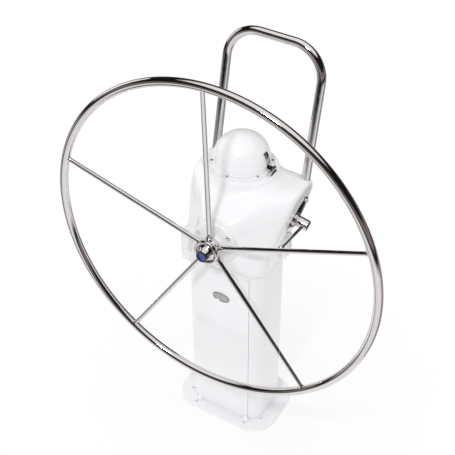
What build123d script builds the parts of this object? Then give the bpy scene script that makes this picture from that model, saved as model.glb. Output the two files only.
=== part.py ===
"""Boat steering pedestal with a 1 m five-spoke wheel, compass cover, guard rail and engine control.

Frame: millimetres, +Z up, -Y toward the helmsman, +X to the helmsman's right.
Origin: centre of the base flange's underside, where the pedestal stands on the cockpit sole.
"""
from build123d import *
from math import acos, cos, pi, radians, sin, sqrt, tan
import os

# Base flange and column
FLANGE_WIDTH = 342.0
FLANGE_DEPTH = 246.0
FLANGE_CORNER = 80.0
FLANGE_THICK = 8.0
BOLT_HOLE_R = 4.5
BOLT_FRONT_X = 89.0
BOLT_FRONT_Y = 103.0
BOLT_SIDE_X = 128.0
BOLT_SIDE_Y = 61.0
COLUMN_WIDTH = 250.0
COLUMN_DEPTH = 178.0
COLUMN_OFFSET_Y = 4.0
COLUMN_CORNER = 45.0
COLUMN_WALL = 8.0
COLUMN_TOP = 650.0
CABLE_OPENING = (150.0, 90.0)

# Front access panel
PANEL_WIDTH = 184.0
PANEL_HEIGHT = 622.0
PANEL_THICK = 5.0
PANEL_PROUD = 1.0
PANEL_GAP = 0.8
PANEL_FOOT = 14.0
REBATE_LAND = 9.0
CAP_R = 12.0
CAP_X = 87.0
BADGE_WIDTH = 57.0
BADGE_HEIGHT = 33.0
BADGE_THICK = 3.0
BADGE_Z = 528.0

# Head housing
HEAD_TOP = 880.0
HEAD_WALL = 6.0
HEAD_BROW_ROUND = 16.0
LIP_Z = 697.0
BOSS_X = -18.0
BOSS_Y = 82.0
BOSS_R = 98.0
BOSS_TOP = 903.0
COMPASS_X = -28.0
COMPASS_Y = 84.0

# Wheel
WHEEL_R = 500.0
WHEEL_Y = -140.0
WHEEL_Z = 768.0
SHAFT_TILT = 4.0
RIM_TUBE_R = 12.5
RIM_WALL = 1.5
SPOKES = 5
SPOKE_PHASE = 93.9
SPOKE_R_HUB = 7.5
SPOKE_R_RIM = 6.0
HUB_R = 30.0
HUB_FACE_R = 37.0
HUB_FRONT = -28.0
HUB_BACK = 11.0
NOSE_FRONT = -48.0
NOSE_R = 16.5
COLLAR_R = 10.5
COLLAR_LENGTH = 12.0

# Shaft, bearings and drive
SHAFT_R = 12.0
SHAFT_END = 180.0
FLANGE_PLATE_R = 65.0
FLANGE_PLATE_FRONT = 23.0
FLANGE_PLATE_THICK = 4.0
FLANGE_PAD_PROUD = 2.0
STUB_R = 27.0
STUB_FRONT = 12.5
BEARING_R = 21.0
BEARING_WIDTH = 12.0
RUN_GAP = 0.05
FLANGE_SCREW_PCD_R = 56.0
GEAR_MODULE = 3.0
PINION_TEETH = 18
GEAR_TEETH = 54
GEAR_WINDOWS = 6
TOOTH_SLACK = 0.35
GEAR_WIDTH = 12.0
PINION_WIDTH = 16.0
PLATE_THICK = 8.0
FRAME_FRONT = 86.0
FRAME_REAR = 158.0
FRAME_WIDTH = 96.0
FRAME_FOOT = 110.0
CRANK_LENGTH = 100.0
CRANK_EYE_R = 5.0
CRANK_THICK = 12.0
CRANK_GAP = 10.0

# Compass
RING_HEIGHT = 14.0
COVER_R = 81.0
COVER_WALL = 2.5
COVER_SKIRT = 16.0
COVER_HEIGHT = 90.0
BOWL_R = 64.0
BOWL_WALL = 3.0
CARD_R = 54.0
HINGE_PIN_R = 2.5
HINGE_WIDTH = 30.0
STRAP_THICK = 3.0
STRAP_REACH = 48.0
LIP_PROUD = 1.2
LIP_HEIGHT = 5.0

# Guard rail
GUARD_TUBE_R = 12.7
GUARD_HALF = 145.5
GUARD_FOOT_Y = 140.0
GUARD_HEIGHT = 376.0
GUARD_LEAN = 12.5
GUARD_CORNER = 92.0
GUARD_WALL = 2.0
SOCKET_DEPTH = 34.0
SOCKET_WALL = 5.0

# Engine control on the right side
CONTROL_Y = 84.0
CONTROL_Z = 780.0
CONTROL_PLATE = (132.0, 66.0, 4.0)
CONTROL_SLOPE = 36.0
SPINDLE_AT = (12.0, 0.0)
CONTROL_SINK = 2.5
SPINDLE_R = 16.0
SPINDLE_LENGTH = 44.0
LEVER_LENGTH = 158.0
LEVER_RISE = 12.5
LEVER_R = 4.5
LEVER_OUT = 32.0
BALL_R = 10.0
CONTROL_BODY = (44.0, 38.0, 34.0)

SMALL = 0.3

BACK_Y = COLUMN_OFFSET_Y + COLUMN_DEPTH / 2
FRONT_Y = COLUMN_OFFSET_Y - COLUMN_DEPTH / 2


def seat_y(local, z):
    """Y of the plane square to the shaft, a distance behind the wheel centre, at a height."""
    a = radians(SHAFT_TILT)
    return WHEEL_Y + local / cos(a) + (z - WHEEL_Z) * tan(a)


FACE = FLANGE_PLATE_FRONT + FLANGE_PLATE_THICK
FACE_Z = (LIP_Z, 740.0, 785.0, 832.0, 886.0)
FACE_HALF = (COLUMN_WIDTH / 2 + 8, COLUMN_WIDTH / 2 + 17, COLUMN_WIDTH / 2 + 26, COLUMN_WIDTH / 2 + 34, 164.0)
FACE_CORNER = (62.0, 88.0, 104.0, 112.0, 114.0)
REAR_Y = (95.0, 117.0, 150.0, 184.0, 190.0)
REAR_CORNER = (42.0, 38.0, 34.0, 30.0, 28.0)
# Side view of the head's top: y and height from the brow over the flat top to the rear edge
TOP_LINE = [(-170.0, 806.0), (-116.0, 828.0), (-78.0, 850.0), (40.0, HEAD_TOP), (157.0, HEAD_TOP),
            (182.0, 845.0), (200.0, 800.0)]
SIDE_FLARE = 10.2

os.makedirs("parts", exist_ok=True)


def save(name, *solids):
    """Write one node; several solids stay separate inside it."""
    shape = solids[0] if len(solids) == 1 else Compound(children=list(solids))
    export_step(shape, "parts/" + name + ".step")


def rod(r, length, at=(0, 0, 0), axis="Z"):
    """Solid cylinder that starts at a point and runs along +X, +Y or +Z."""
    turn = {"Z": (0, 0, 0), "X": (0, 90, 0), "Y": (-90, 0, 0)}[axis]
    start = (Align.CENTER, Align.CENTER, Align.MIN)
    return Location(at, turn) * Cylinder(r, length, align=start)


def ring(outer, inner, length, at=(0, 0, 0), axis="Z"):
    """Tube between two radii that starts at a point."""
    return rod(outer, length, at, axis) - rod(inner, length, at, axis)


def block(size, low):
    """Box from its lowest corner."""
    return Location(low) * Box(*size, align=(Align.MIN, Align.MIN, Align.MIN))


def wheel_frame(shape):
    """Turn a piece from the shaft's own frame (y along the shaft) into the pedestal frame."""
    return Location((0, WHEEL_Y, WHEEL_Z), (-SHAFT_TILT, 0, 0)) * shape


def side_half_width(z):
    """Half width of the head's flared side at a height."""
    low, high = FACE_Z[1], FACE_Z[3]
    return FACE_HALF[1] + (z - low) * (FACE_HALF[3] - FACE_HALF[1]) / (high - low)


def control_frame(shape):
    """Place a piece on the head's right side: local z points out of the flared side."""
    x = side_half_width(CONTROL_Z) - CONTROL_SINK
    turned = Location((0, 0, 0), (0, 90 + SIDE_FLARE, 0)) * shape
    return Location((x, CONTROL_Y, CONTROL_Z)) * turned


def rounded_outline(z, mid_x, half, front, front_corner, back, back_corner):
    """Closed plan outline with four straight sides and four corner arcs."""
    left, right = mid_x - half, mid_x + half
    k = 1 - sqrt(0.5)
    f, b = front_corner, back_corner

    def p(x, y):
        return Vector(x, y, z)

    edges = [
        Line(p(left + f, front), p(right - f, front)),
        ThreePointArc(p(right - f, front), p(right - f * k, front + f * k), p(right, front + f)),
        Line(p(right, front + f), p(right, back - b)),
        ThreePointArc(p(right, back - b), p(right - b * k, back - b * k), p(right - b, back)),
        Line(p(right - b, back), p(left + b, back)),
        ThreePointArc(p(left + b, back), p(left + b * k, back - b * k), p(left, back - b)),
        Line(p(left, back - b), p(left, front + f)),
        ThreePointArc(p(left, front + f), p(left + f * k, front + f * k), p(left + f, front)),
    ]
    return Wire(edges)


def column_outline(z, inset):
    """Plan outline of the column at a height, moved inwards by an inset."""
    half = COLUMN_WIDTH / 2 - inset
    corner = COLUMN_CORNER - inset
    return rounded_outline(z, 0, half, FRONT_Y + inset, corner, BACK_Y - inset, corner)


def prism(wire, height):
    """Straight solid above a plan outline."""
    return extrude(Face(wire), amount=height, dir=(0, 0, 1))


# Base flange and column
def base_flange():
    """Flat foot with a softened top edge."""
    plan = RectangleRounded(FLANGE_WIDTH, FLANGE_DEPTH, FLANGE_CORNER)
    plate = extrude(plan, amount=FLANGE_THICK)
    top_edges = plate.edges().group_by(Axis.Z)[-1]
    return fillet(top_edges, FLANGE_THICK * 0.4)


def bolt_points():
    """Deck bolt places: a pair in front, a pair behind and two at each side."""
    points = []
    for sx in (-1, 1):
        for sy in (-1, 1):
            points.append((sx * BOLT_FRONT_X, sy * BOLT_FRONT_Y))
            points.append((sx * BOLT_SIDE_X, sy * BOLT_SIDE_Y))
    return points


def pedestal_column():
    """Hollow moulded column on its flange, with a rebated opening for the access panel."""
    outer = prism(column_outline(0, 0), COLUMN_TOP)
    body = base_flange() + outer
    body -= prism(column_outline(FLANGE_THICK, COLUMN_WALL), COLUMN_TOP)
    width, depth = CABLE_OPENING
    body -= block((width, depth, FLANGE_THICK * 3), (-width / 2, COLUMN_OFFSET_Y - depth / 2, -FLANGE_THICK))
    rebate = PANEL_THICK - PANEL_PROUD
    wide = PANEL_WIDTH + 2 * PANEL_GAP
    tall = PANEL_HEIGHT + 2 * PANEL_GAP
    body -= block((wide, rebate, tall), (-wide / 2, FRONT_Y, PANEL_FOOT - PANEL_GAP))
    wide = PANEL_WIDTH - 2 * REBATE_LAND
    tall = PANEL_HEIGHT - 2 * REBATE_LAND
    body -= block((wide, 2 * COLUMN_WALL, tall), (-wide / 2, FRONT_Y - 1, PANEL_FOOT + REBATE_LAND))
    for x, y in bolt_points():
        body -= rod(BOLT_HOLE_R, FLANGE_THICK * 2, (x, y, -1))
    return body


def access_panel():
    """Flat cover with rounded long edges that fills the column's front opening."""
    y = FRONT_Y - PANEL_PROUD
    plate = block((PANEL_WIDTH, PANEL_THICK, PANEL_HEIGHT), (-PANEL_WIDTH / 2, y, PANEL_FOOT))
    front = plate.faces().sort_by(Axis.Y)[0]
    return fillet(front.edges(), PANEL_PROUD)


def foot_caps():
    """Quarter-round clips that keep the foot of the panel in place."""
    caps = []
    y = FRONT_Y - PANEL_PROUD
    for side in (-1, 1):
        ball = Location((side * CAP_X, y, FLANGE_THICK)) * Sphere(CAP_R)
        room = block((60, 60, 60), (side * CAP_X - 30, y - 60, FLANGE_THICK))
        caps.append(ball & room)
    return caps


def panel_badge():
    """Bare oval plate with a raised rim."""
    y = FRONT_Y - PANEL_PROUD
    face = Location((0, y, BADGE_Z), (90, 0, 0))
    plate = extrude(face * Ellipse(BADGE_WIDTH / 2, BADGE_HEIGHT / 2), amount=BADGE_THICK)
    sink = Location((0, y - BADGE_THICK, BADGE_Z), (90, 0, 0))
    inner = sink * Ellipse(BADGE_WIDTH / 2 - 3, BADGE_HEIGHT / 2 - 3)
    return plate - extrude(inner, amount=-BADGE_THICK * 0.4)


# Head housing
def head_form(inset, low):
    """Head body: lofted plan sections cut by the side view of the top, moved inwards by an inset."""
    half = COLUMN_WIDTH / 2 - inset
    corner = COLUMN_CORNER - inset
    wires = [rounded_outline(COLUMN_TOP + low, 0, half, FRONT_Y + inset, corner, BACK_Y - inset, corner)]
    for z, half, front, rear, back in zip(FACE_Z, FACE_HALF, FACE_CORNER, REAR_Y, REAR_CORNER):
        y = seat_y(FACE + FLANGE_PAD_PROUD, z) + inset
        wires.append(rounded_outline(z, 0, half - inset, y, front - inset, rear - inset, back - inset))
    form = Solid.make_loft(wires, False)
    return form & top_limit(inset)


def top_limit(inset):
    """Long prism under the head's top line, lowered by an inset."""
    line = [(y, z - inset) for y, z in TOP_LINE]
    points = [(line[0][0], COLUMN_TOP - 40)] + line + [(line[-1][0] - inset, COLUMN_TOP - 40)]
    plane = Plane(origin=(-200, 0, 0), x_dir=(0, 1, 0), z_dir=(1, 0, 0))
    outline = FilletPolyline(*points, radius=HEAD_BROW_ROUND, close=True)
    return extrude(plane * make_face(outline), amount=400)


def side_lobe(side, front, back, width, low, high, corner):
    """Rounded block low on one side of the head."""
    inner = COLUMN_WIDTH / 2 - 20
    outer = COLUMN_WIDTH / 2 + width
    size = (outer - inner, back - front, high - low)
    x = inner if side > 0 else -outer
    lobe = block(size, (x, front, low))
    face = lobe.faces().sort_by(Axis.X)[-1 if side > 0 else 0]
    return fillet(face.edges(), corner)


def head_housing():
    """Moulded head shell with shaft pad, compass boss, guard sockets and side lobes."""
    form = head_form(0, 0)
    cavity = head_form(HEAD_WALL, -1)
    body = form - cavity
    for side in (-1, 1):
        body += guard_leg_tool(side, GUARD_TUBE_R + SOCKET_WALL, SOCKET_DEPTH + SOCKET_WALL) & form
    boss = rod(BOSS_R, BOSS_TOP - HEAD_TOP + 40, (BOSS_X, BOSS_Y, HEAD_TOP - 40))
    hollow = rod(BOSS_R - HEAD_WALL, BOSS_TOP - HEAD_TOP + 40, (BOSS_X, BOSS_Y, HEAD_TOP - 41 - HEAD_WALL))
    body = body + (boss - cavity) - hollow
    body += wheel_frame(rod(FLANGE_PLATE_R + 1.5, 15, (0, FACE, 0), "Y")) & (form + front_pad())
    keep = prism(column_outline(COLUMN_TOP - 60, 0), 400)
    left = side_lobe(-1, FRONT_Y + 4, FRONT_Y + 74, 14, COLUMN_TOP - 36, LIP_Z + 16, 8)
    body += (left - keep) - cavity
    right = side_lobe(1, 26, 72, 22, COLUMN_TOP + 2, LIP_Z + 36, 8)
    body += right - cavity
    length, width, thick = CONTROL_PLATE
    seat = control_frame(slot_plate(length + 8, width + 8, 7, -7))
    body += seat & form
    body -= control_frame(slot_plate(length + 8, width + 8, 40, 0))
    body -= rod(BOWL_R + 3, 200, (COMPASS_X, COMPASS_Y, HEAD_TOP - 60))
    body -= wheel_frame(rod(STUB_R + 4 + SMALL, 90, (0, FACE - 1, 0), "Y"))
    for x, z in flange_screw_points():
        body -= wheel_frame(rod(3.0, 30, (x, FACE - 1, z), "Y"))
    for side in (-1, 1):
        body -= guard_leg_tool(side, GUARD_TUBE_R + 0.02, SOCKET_DEPTH)
    x, y = SPINDLE_AT
    body -= control_frame(rod(SPINDLE_R * 0.6 + 1, 60, (x, y, -40)))
    for x, y in control_bolt_points():
        body -= control_frame(rod(3.0, 30, (x, y, -20)))
    return body


def front_pad():
    """Space just in front of the head's face, where the shaft flange's pad stands proud."""
    return block((200, 30, 200), (-100, WHEEL_Y + 10, WHEEL_Z - 100))


def guard_leg_tool(side, r, depth):
    """Cylinder along one guard leg, from a depth under the head's top to well above it."""
    place = Location((side * GUARD_HALF, GUARD_FOOT_Y, HEAD_TOP), (-GUARD_LEAN, 0, 0))
    return place * rod(r, depth + 80, (0, 0, -depth))


# Shaft flange, bearings and shaft
def flange_screw_points():
    """Three screws round the flange, a third of a turn apart."""
    points = []
    for k in range(3):
        a = radians(41 + 120 * k)
        points.append((FLANGE_SCREW_PCD_R * cos(a), FLANGE_SCREW_PCD_R * sin(a)))
    return points


def shaft_flange():
    """Round plate with a front stub and a rear tube that carries the drive frame."""
    back = FLANGE_PLATE_FRONT + FLANGE_PLATE_THICK
    plate = rod(FLANGE_PLATE_R, FLANGE_PLATE_THICK, (0, FLANGE_PLATE_FRONT, 0), "Y")
    body = fillet(plate.edges().group_by(Axis.Y)[0], 2)
    stub = rod(STUB_R, FLANGE_PLATE_FRONT - STUB_FRONT, (0, STUB_FRONT, 0), "Y")
    body += stub
    body += rod(STUB_R + 4, FRAME_FRONT - back, (0, back, 0), "Y")
    body -= rod(SHAFT_R + 1.5, FRAME_FRONT, (0, 0, 0), "Y")
    body -= rod(BEARING_R, BEARING_WIDTH + 40, (0, FRAME_FRONT - BEARING_WIDTH - 18, 0), "Y")
    body -= rod(3.2, 14, (STUB_R - 8, STUB_FRONT + 5, STUB_R - 8), "Z")
    for x, z in flange_screw_points():
        body -= rod(3.0, 30, (x, FLANGE_PLATE_FRONT - 1, z), "Y")
    return wheel_frame(body)


def flange_screws():
    """Socket head screws in the flange."""
    screws = []
    for x, z in flange_screw_points():
        head = rod(5, 4, (x, FLANGE_PLATE_FRONT - 4, z), "Y")
        head += rod(2.9, 20, (x, FLANGE_PLATE_FRONT, z), "Y")
        head -= rod(2.5, 2.5, (x, FLANGE_PLATE_FRONT - 4, z), "Y")
        screws.append(wheel_frame(head))
    return screws


def bearing(y, z=0.0, shaft_r=SHAFT_R, outer=BEARING_R):
    """Ball bearing drawn as one ring, with a groove between its races on both faces."""
    body = ring(outer, shaft_r + RUN_GAP, BEARING_WIDTH, (0, y, z), "Y")
    middle = (outer + shaft_r) / 2
    for face in (y, y + BEARING_WIDTH - 1.5):
        body -= ring(middle + 2, middle - 2, 1.5, (0, face, z), "Y")
    return wheel_frame(body)


def steering_shaft():
    """Stepped shaft from the wheel hub to the rear plate."""
    body = rod(SHAFT_R, SHAFT_END - HUB_FRONT - 4, (0, HUB_FRONT + 4, 0), "Y")
    end = body.edges().group_by(Axis.Y)[-1]
    return wheel_frame(chamfer(end, 1.5))


# Wheel
def wheel_rim():
    """Round tube bent to a circle."""
    circle = Torus(WHEEL_R, RIM_TUBE_R) - Torus(WHEEL_R, RIM_TUBE_R - RIM_WALL)
    circle = Location((0, 0, 0), (90, 0, 0)) * circle
    for k in range(SPOKES):
        circle -= spoke_solid(k, 0.15)
    return wheel_frame(circle)


def spoke_angle(k):
    """Direction of a spoke, in radians from +X toward the top."""
    return radians(SPOKE_PHASE - 360 / SPOKES * k)


def spoke_solid(k, grow=0.0):
    """Tapered round spoke from the hub's side into the rim tube."""
    start = HUB_R - 6
    length = WHEEL_R - RIM_TUBE_R * 0.55 - start
    cone = Cone(SPOKE_R_HUB + grow, SPOKE_R_RIM + grow, length, align=(Align.CENTER, Align.CENTER, Align.MIN))
    turn = 90 - SPOKE_PHASE + 360 / SPOKES * k
    return Location((0, 0, 0), (0, turn, 0)) * (Location((0, 0, start)) * cone)


def wheel_spokes():
    """The five spokes, apart from one another."""
    return [wheel_frame(spoke_solid(k)) for k in range(SPOKES)]


def collar_solid(k, grow=0.0):
    """Round collar nut that clamps a spoke at the hub."""
    turn = 90 - SPOKE_PHASE + 360 / SPOKES * k
    body = rod(COLLAR_R + grow, COLLAR_LENGTH, (0, 0, HUB_R - 3))
    return Location((0, 0, 0), (0, turn, 0)) * body


def spoke_collars():
    """The five collar nuts round the hub."""
    collars = []
    for k in range(SPOKES):
        body = collar_solid(k)
        body = chamfer(body.edges().group_by(Axis((0, 0, 0), direction_of(k)))[-1], 1.5)
        body -= spoke_solid(k, 0.02)
        body -= rod(HUB_R + 0.02, 60, (0, -30, 0), "Y")
        collars.append(wheel_frame(body))
    return collars


def direction_of(k):
    """Unit direction of a spoke in the shaft's frame."""
    a = spoke_angle(k)
    return (cos(a), 0, sin(a))


def wheel_hub():
    """Turned hub: a wide front face ring, a body with spoke sockets and a tapered bore."""
    body = rod(HUB_R, HUB_BACK - HUB_FRONT, (0, HUB_FRONT, 0), "Y")
    face = rod(HUB_FACE_R, 13, (0, HUB_FRONT, 0), "Y")
    body += fillet(face.edges().group_by(Axis.Y)[0], 3)
    body -= rod(HUB_FACE_R - 7, 7, (0, HUB_FRONT, 0), "Y")
    body -= rod(SHAFT_R + 0.02, 80, (0, HUB_FRONT - 1, 0), "Y")
    for k in range(SPOKES):
        body -= spoke_solid(k, 0.02)
    return wheel_frame(body)


def hub_nose():
    """Domed nut that holds the wheel on its shaft: a cone that ends in a ring."""
    base = HUB_FRONT + 7
    profile = Polyline(
        (0, base), (HUB_FACE_R - 9, base), (HUB_FACE_R - 9, base - 4), (NOSE_R + 5, base - 12),
        (NOSE_R, NOSE_FRONT + 4), (NOSE_R, NOSE_FRONT), (NOSE_R - 2.5, NOSE_FRONT),
        (NOSE_R - 2.5, NOSE_FRONT + 2.5), (0, NOSE_FRONT + 2.5), (0, base))
    body = revolve(make_face(profile), Axis.Y, 360)
    body -= rod(SHAFT_R + 0.3, 40, (0, HUB_FRONT + 3.8, 0), "Y")
    return wheel_frame(body)


def hub_disc():
    """Bare blue disc set into the nose."""
    return wheel_frame(rod(NOSE_R - 2.6, 1.6, (0, NOSE_FRONT + 0.9, 0), "Y"))


# Drive: pinion on the steering shaft, large gear on the output shaft
def tooth_half_angle(r, pitch, teeth):
    """Half the angle that one involute tooth takes at a radius."""
    base = pitch * cos(radians(20))
    at_pitch = tan(radians(20)) - radians(20)
    pressure = acos(min(1.0, base / r))
    slack = TOOTH_SLACK / 2 / pitch
    return pi / 2 / teeth + at_pitch - (tan(pressure) - pressure) - slack


def tooth_points(middle, pitch, teeth):
    """Outline of one tooth, from its root on one side to its root on the other."""
    root = pitch - 1.25 * GEAR_MODULE
    tip = pitch + GEAR_MODULE
    base = pitch * cos(radians(20))
    radii = [max(root, base + 0.01), pitch, tip]
    left = [(root, -tooth_half_angle(radii[0], pitch, teeth))]
    left += [(r, -tooth_half_angle(r, pitch, teeth)) for r in radii]
    if root > base:
        left = left[1:]
    flank = left + [(r, -a) for r, a in reversed(left)]
    return [(r * cos(middle + a), r * sin(middle + a)) for r, a in flank]


def gear_plan(points, z, width, y):
    """Toothed outline in the plane across the shaft, made a solid."""
    face = make_face(Polyline(*points, close=True))
    plane = Plane(origin=(0, y + width, z), x_dir=(1, 0, 0), z_dir=(0, -1, 0))
    return extrude(plane * face, amount=width)


def gear_start(width):
    """Front face of a gear, centred between the frame plates."""
    return (FRAME_FRONT + PLATE_THICK + FRAME_REAR) / 2 - width / 2


def gear_blank(teeth, phase, z, width):
    """Spur gear with involute teeth on a solid web."""
    pitch = GEAR_MODULE * teeth / 2
    points = []
    for k in range(teeth):
        points += tooth_points(radians(phase + 360 / teeth * k), pitch, teeth)
    return gear_plan(points, z, width, gear_start(width))


def drive_pinion():
    """Spur pinion fixed on the steering shaft."""
    pitch = GEAR_MODULE * PINION_TEETH / 2
    start = gear_start(PINION_WIDTH)
    body = gear_blank(PINION_TEETH, 90 + 180 / PINION_TEETH, 0, PINION_WIDTH)
    body += rod(pitch - 7, 8, (0, start - 8, 0), "Y")
    body -= rod(SHAFT_R + 0.02, 90, (0, start - 20, 0), "Y")
    return wheel_frame(body)


def centre_distance():
    """Distance between the steering shaft and the output shaft."""
    return GEAR_MODULE * (PINION_TEETH + GEAR_TEETH) / 2


def drive_gear():
    """Large gear on the output shaft, with round windows in its web."""
    pitch = GEAR_MODULE * GEAR_TEETH / 2
    z = -centre_distance()
    start = gear_start(GEAR_WIDTH)
    body = gear_blank(GEAR_TEETH, 90, z, GEAR_WIDTH)
    body += rod(SHAFT_R * 1.9, GEAR_WIDTH + 8, (0, start - 4, z), "Y")
    for k in range(GEAR_WINDOWS):
        a = radians(30 + 360 / GEAR_WINDOWS * k)
        x, height = pitch * 0.6 * cos(a), z + pitch * 0.6 * sin(a)
        body -= rod(pitch * 0.2, 60, (x, start - 20, height), "Y")
    body -= rod(SHAFT_R + 0.02, 90, (0, start - 20, z), "Y")
    return wheel_frame(body)


def output_shaft():
    """Plain shaft of the large gear, with the crank on its rear end."""
    y = FRAME_FRONT - 8
    body = rod(SHAFT_R, FRAME_REAR + PLATE_THICK + CRANK_GAP + CRANK_THICK + 3 - y, (0, y, -centre_distance()), "Y")
    return wheel_frame(chamfer(body.edges().group_by(Axis.Y)[-1], 1.5))


def frame_plate(y):
    """Drive frame plate: a long oval with seats for the upper and the lower bearing."""
    z = -centre_distance()
    half = FRAME_WIDTH / 2
    size = (FRAME_WIDTH, PLATE_THICK, FRAME_FOOT - z)
    body = block(size, (-half, y, z - FRAME_FOOT))
    body = fillet(body.edges().filter_by(Axis.Y).group_by(Axis.Z)[0], 16)
    body += rod(half, PLATE_THICK, (0, y, 0), "Y")
    for height in (0, z):
        body -= rod(BEARING_R, 3 * PLATE_THICK, (0, y - 5, height), "Y")
    for x, height in spacer_points():
        body -= rod(4, 3 * PLATE_THICK, (x, y - 5, height), "Y")
    return body


def spacer_points():
    """Corners of the drive frame, clear of both gears."""
    low = -centre_distance() - FRAME_FOOT
    return [(-20, 34), (20, 34), (-20, low + 14), (20, low + 14)]


def frame_plates():
    """Front and rear plates of the drive frame."""
    front = frame_plate(FRAME_FRONT)
    rear = frame_plate(FRAME_REAR)
    return wheel_frame(front), wheel_frame(rear)


def frame_spacers():
    """Round spacers between the two plates."""
    length = FRAME_REAR - FRAME_FRONT - PLATE_THICK
    y = FRAME_FRONT + PLATE_THICK
    return [wheel_frame(ring(8, 4.0, length, (x, y, z), "Y")) for x, z in spacer_points()]


def frame_bolts():
    """Through bolts of the drive frame."""
    bolts = []
    for x, z in spacer_points():
        shank = rod(3.9, FRAME_REAR - FRAME_FRONT + PLATE_THICK + 8, (x, FRAME_FRONT, z), "Y")
        head = Location((x, FRAME_FRONT, z), (90, 0, 0)) * extrude(RegularPolygon(7, 6), amount=5)
        nut_y = FRAME_REAR + PLATE_THICK
        nut = Location((x, nut_y + 6, z), (90, 0, 0)) * extrude(RegularPolygon(7, 6), amount=6)
        bolts.append(wheel_frame(shank + head + nut))
    return bolts


def output_crank():
    """Forged arm whose eye takes the drag link to the rudder."""
    z = -centre_distance()
    y = FRAME_REAR + PLATE_THICK + CRANK_GAP
    tip = z - CRANK_LENGTH
    hub = rod(22, CRANK_THICK, (0, y, z), "Y")
    eye = rod(13, CRANK_THICK, (0, y, tip), "Y")
    arm = Polyline((-15, z), (15, z), (9, tip), (-9, tip), close=True)
    plane = Plane(origin=(0, y + CRANK_THICK, 0), x_dir=(1, 0, 0), z_dir=(0, -1, 0))
    body = hub + eye + extrude(plane * make_face(arm), amount=CRANK_THICK)
    body -= rod(SHAFT_R + 0.02, 90, (0, y - 20, z), "Y")
    body -= rod(CRANK_EYE_R, 90, (0, y - 20, tip), "Y")
    return wheel_frame(body)


# Compass
def at_compass(shape, z):
    """Move a compass piece from its own centre to its place on the head."""
    return Location((COMPASS_X, COMPASS_Y, z)) * shape


def compass_ring():
    """Seat ring on the head, with a step for the cover's skirt."""
    outer = COVER_R + 9
    body = ring(outer, BOWL_R + 1, RING_HEIGHT, (0, 0, 0))
    body -= ring(outer + 5, COVER_R - COVER_WALL - 2, RING_HEIGHT, (0, 0, RING_HEIGHT - 5))
    for k in range(6):
        a = radians(30 + 60 * k)
        body -= rod(2.2, 40, ((outer - 4) * cos(a), (outer - 4) * sin(a), -5))
    return at_compass(body, BOSS_TOP)


def ring_screws():
    """Small countersunk screws of the seat ring."""
    screws = []
    r = COVER_R + 5
    for k in range(6):
        a = radians(30 + 60 * k)
        x, y = r * cos(a), r * sin(a)
        screw = rod(2.15, RING_HEIGHT - 5, (x, y, 0)) + rod(3.4, 1.2, (x, y, RING_HEIGHT - 5))
        screws.append(at_compass(screw, BOSS_TOP))
    return screws


def compass_bowl():
    """Bowl that hangs by its rim in the seat ring."""
    depth = 46
    top = RING_HEIGHT
    body = rod(BOWL_R, depth, (0, 0, top - depth))
    body = fillet(body.edges().group_by(Axis.Z)[0], 26)
    body += rod(COVER_R - COVER_WALL - 4, 4, (0, 0, top))
    hollow = rod(BOWL_R - BOWL_WALL, depth, (0, 0, top - depth + BOWL_WALL))
    hollow = fillet(hollow.edges().group_by(Axis.Z)[0], 23)
    body -= hollow
    body -= rod(BOWL_R - BOWL_WALL, 10, (0, 0, top))
    body += rod(5, 16, (0, 0, top - depth + 1))
    body -= rod(2.05, 12, (0, 0, top - depth + 7))
    return at_compass(body, BOSS_TOP)


def card_pivot():
    """Steel pin that carries the card."""
    low = RING_HEIGHT - 46 + 7
    return at_compass(rod(2, 26, (0, 0, low)), BOSS_TOP)


def compass_card():
    """Turning card with a hub that runs on the pivot."""
    z = RING_HEIGHT - 18
    body = rod(CARD_R, 2, (0, 0, z)) + rod(6, 6, (0, 0, z - 4))
    body -= rod(2 + RUN_GAP, 40, (0, 0, z - 20))
    body += rod(4, 1.5, (0, 0, z + 5.5))
    body += ring(4, 2 + RUN_GAP, 5.5, (0, 0, z))
    return at_compass(body, BOSS_TOP)


def compass_glass():
    """Clear dome over the card, seated on the bowl's rim."""
    z = RING_HEIGHT + 4
    outer = dome_solid(BOWL_R + 6, 4, 44, z)
    inner = dome_solid(BOWL_R + 3, 4, 41, z)
    return at_compass(outer - inner, BOSS_TOP)


def dome_solid(r, skirt, height, z):
    """Short cylinder under a half ellipse, turned about the vertical."""
    rise = height - skirt
    arc = [(r * cos(radians(a)), z + skirt + rise * sin(radians(a))) for a in (0, 22.5, 45, 67.5, 90)]
    cap = Spline(*arc, tangents=[(0, 1), (-1, 0)])
    sides = Polyline((0, z + height), (0, z), (r, z), (r, z + skirt))
    profile = make_face(sides + cap)
    plane = Plane(origin=(0, 0, 0), x_dir=(1, 0, 0), z_dir=(0, -1, 0))
    return revolve(plane * profile, Axis.Z, 360)


def compass_cover():
    """Opaque domed cover with a small lip at its foot."""
    z = RING_HEIGHT - 4.7
    outer = dome_solid(COVER_R, COVER_SKIRT, COVER_HEIGHT, z)
    lip = rod(COVER_R + LIP_PROUD, LIP_HEIGHT, (0, 0, z))
    outer += fillet(lip.edges().group_by(Axis.Z)[-1], 1.5)
    inner = dome_solid(COVER_R - COVER_WALL, COVER_SKIRT, COVER_HEIGHT - COVER_WALL, z)
    return at_compass(outer - inner, BOSS_TOP)


def hinge_axis():
    """Place of the cover hinge pin: x and height in the compass frame."""
    return COVER_R + 15, RING_HEIGHT - 1


def hinge_bracket():
    """Bracket beside the seat ring, with two ears for the pin."""
    x, z = hinge_axis()
    body = block((12, HINGE_WIDTH, 3), (x - 5, -HINGE_WIDTH / 2, 0))
    for y in (-HINGE_WIDTH / 2, HINGE_WIDTH / 2 - 6):
        body += block((9, 6, z), (x - 4.5, y, 0)) + rod(4.5, 6, (x, y, z), "Y")
    body -= rod(HINGE_PIN_R + 0.02, 60, (x, -30, z), "Y")
    return at_compass(body, BOSS_TOP)


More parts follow.
